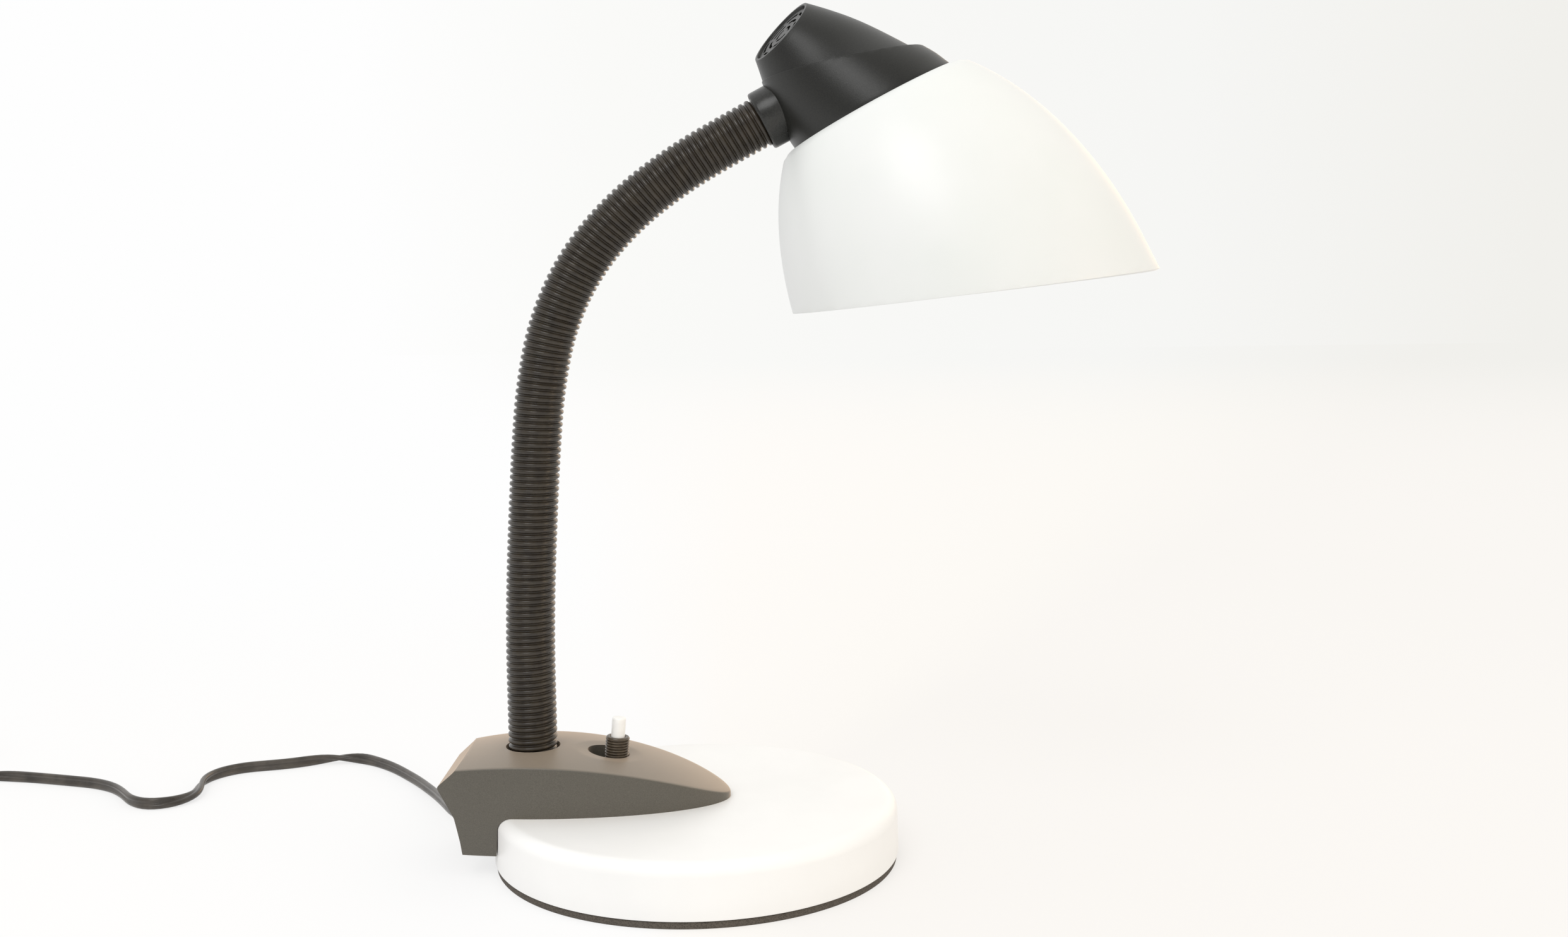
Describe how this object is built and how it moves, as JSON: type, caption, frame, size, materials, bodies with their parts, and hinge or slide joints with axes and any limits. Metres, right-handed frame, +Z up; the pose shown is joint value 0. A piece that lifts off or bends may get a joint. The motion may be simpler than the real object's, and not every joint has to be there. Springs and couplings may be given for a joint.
{
  "type": "gooseneck desk lamp",
  "caption": "Desk lamp with a round weighted base, black saddle housing with push switch, corrugated gooseneck, vented black head, white bell shade and flat mains cord.",
  "frame": {"origin": "middle of the base's underside, on the desk", "axes": "+X to the front, where the housing's tip points and the head hangs, +Z up; the lamp is symmetric about the XZ plane"},
  "size_m": [0.6918, 0.2779, 0.365],
  "materials": {
    "shade_white": "smooth gloss white",
    "base_white": "smooth gloss white",
    "housing_black": "fine moulded grain",
    "sleeve_black": "satin ribs",
    "button_white": "smooth",
    "bakelite_black": "smooth dark moulding",
    "switch_black": "smooth",
    "zinc_steel": "zinc plated",
    "weight_iron": "rough cast",
    "contact_brass": "drawn sheet",
    "bulb_opal": "opal glass",
    "bulb_metal": "rolled thread",
    "pad_foam": "fine foam",
    "cord_black": "soft satin",
    "plate_black": "plain moulded"
  },
  "bodies": {
    "root": {"foam_pad": "pad_foam", "bottom_plate": "plate_black", "plate_screws": "zinc_steel", "base_weight": "weight_iron", "base_shell": "base_white", "housing": "housing_black", "housing_screws": "zinc_steel", "foot_ferrule": "zinc_steel", "foot_washer": "zinc_steel", "foot_nut": "zinc_steel", "switch_body": "switch_black", "switch_bushing": "switch_black", "switch_nut": "zinc_steel", "button_spring": "zinc_steel", "cord_grip": "cord_black", "cord_lead": "cord_black", "cord_coil": "cord_black", "cord_tie": "cord_black", "plug_body": "cord_black", "plug_blades": "contact_brass", "neck_core_0": "zinc_steel", "neck_sleeve_0": "sleeve_black"},
    "button": {"push_button": "button_white"},
    "neck_1": {"neck_core_1": "zinc_steel", "neck_sleeve_1": "sleeve_black"},
    "neck_2": {"neck_core_2": "zinc_steel", "neck_sleeve_2": "sleeve_black"},
    "neck_3": {"neck_core_3": "zinc_steel", "neck_sleeve_3": "sleeve_black"},
    "neck_4": {"neck_core_4": "zinc_steel", "neck_sleeve_4": "sleeve_black"},
    "neck_5": {"neck_core_5": "zinc_steel", "neck_sleeve_5": "sleeve_black"},
    "neck_6": {"neck_core_6": "zinc_steel", "neck_sleeve_6": "sleeve_black"},
    "neck_7": {"neck_core_7": "zinc_steel", "neck_sleeve_7": "sleeve_black"},
    "neck_8": {"neck_core_8": "zinc_steel", "neck_sleeve_8": "sleeve_black"},
    "neck_9": {"neck_core_9": "zinc_steel", "neck_sleeve_9": "sleeve_black"},
    "head": {"neck_core_10": "zinc_steel", "neck_sleeve_10": "sleeve_black", "head_ferrule": "zinc_steel", "head_nut": "zinc_steel", "neck_ring": "housing_black", "holder_strap": "zinc_steel", "strap_screw": "zinc_steel", "head_collar": "housing_black", "head_cap": "housing_black", "cap_screws": "zinc_steel", "vent_grille": "housing_black", "lampholder": "bakelite_black", "screw_shell": "contact_brass", "centre_contact": "contact_brass", "shade": "shade_white", "shade_ring": "bakelite_black", "bulb_cap": "bulb_metal", "bulb_glass": "bulb_opal"}
  },
  "joints": [
    {"name": "button_press", "type": "slide", "parent": "root", "child": "button", "axis": [-0.0872, 0, -0.9962], "range_m": [0, 0.003], "stiffness_N_per_m": 150, "springref_m": -0.003, "deforming": ["button_spring"]},
    {"name": "bend_1", "type": "hinge", "parent": "root", "child": "neck_1", "pos_m": [-0.0713, 0, 0.0805], "axis": [0, 1, 0], "range_deg": [-14, 9], "deforming": ["neck_sleeve_0", "neck_sleeve_1"]},
    {"name": "sway_2", "type": "hinge", "parent": "neck_1", "child": "neck_2", "pos_m": [-0.07081, 0, 0.10849], "axis": [0.9994, 0, -0.0349], "range_deg": [-10, 10], "deforming": ["neck_sleeve_1", "neck_sleeve_2"]},
    {"name": "bend_3", "type": "hinge", "parent": "neck_2", "child": "neck_3", "pos_m": [-0.06947, 0, 0.13646], "axis": [0, 1, 0], "range_deg": [-14, 9], "deforming": ["neck_sleeve_2", "neck_sleeve_3"]},
    {"name": "sway_4", "type": "hinge", "parent": "neck_3", "child": "neck_4", "pos_m": [-0.06764, 0, 0.1644], "axis": [0.9976, 0, -0.0698], "range_deg": [-10, 10], "deforming": ["neck_sleeve_3", "neck_sleeve_4"]},
    {"name": "bend_5", "type": "hinge", "parent": "neck_4", "child": "neck_5", "pos_m": [-0.06532, 0, 0.1923], "axis": [0, 1, 0], "range_deg": [-14, 9], "deforming": ["neck_sleeve_4", "neck_sleeve_5"]},
    {"name": "sway_6", "type": "hinge", "parent": "neck_5", "child": "neck_6", "pos_m": [-0.06094, 0, 0.21992], "axis": [0.9763, 0, -0.2164], "range_deg": [-10, 10], "deforming": ["neck_sleeve_5", "neck_sleeve_6"]},
    {"name": "bend_7", "type": "hinge", "parent": "neck_6", "child": "neck_7", "pos_m": [-0.05164, 0, 0.24618], "axis": [0, 1, 0], "range_deg": [-14, 9], "deforming": ["neck_sleeve_6", "neck_sleeve_7"]},
    {"name": "sway_8", "type": "hinge", "parent": "neck_7", "child": "neck_8", "pos_m": [-0.03608, 0, 0.26926], "axis": [0.749, 0, -0.6626], "range_deg": [-10, 10], "deforming": ["neck_sleeve_7", "neck_sleeve_8"]},
    {"name": "bend_9", "type": "hinge", "parent": "neck_8", "child": "neck_9", "pos_m": [-0.01558, 0, 0.28821], "axis": [0, 1, 0], "range_deg": [-14, 9], "deforming": ["neck_sleeve_8", "neck_sleeve_9"]},
    {"name": "sway_10", "type": "hinge", "parent": "neck_9", "child": "head", "pos_m": [0.0078, 0, 0.30354], "axis": [0.4924, 0, -0.8704], "range_deg": [-10, 10], "deforming": ["neck_sleeve_9", "neck_sleeve_10"]}
  ]
}
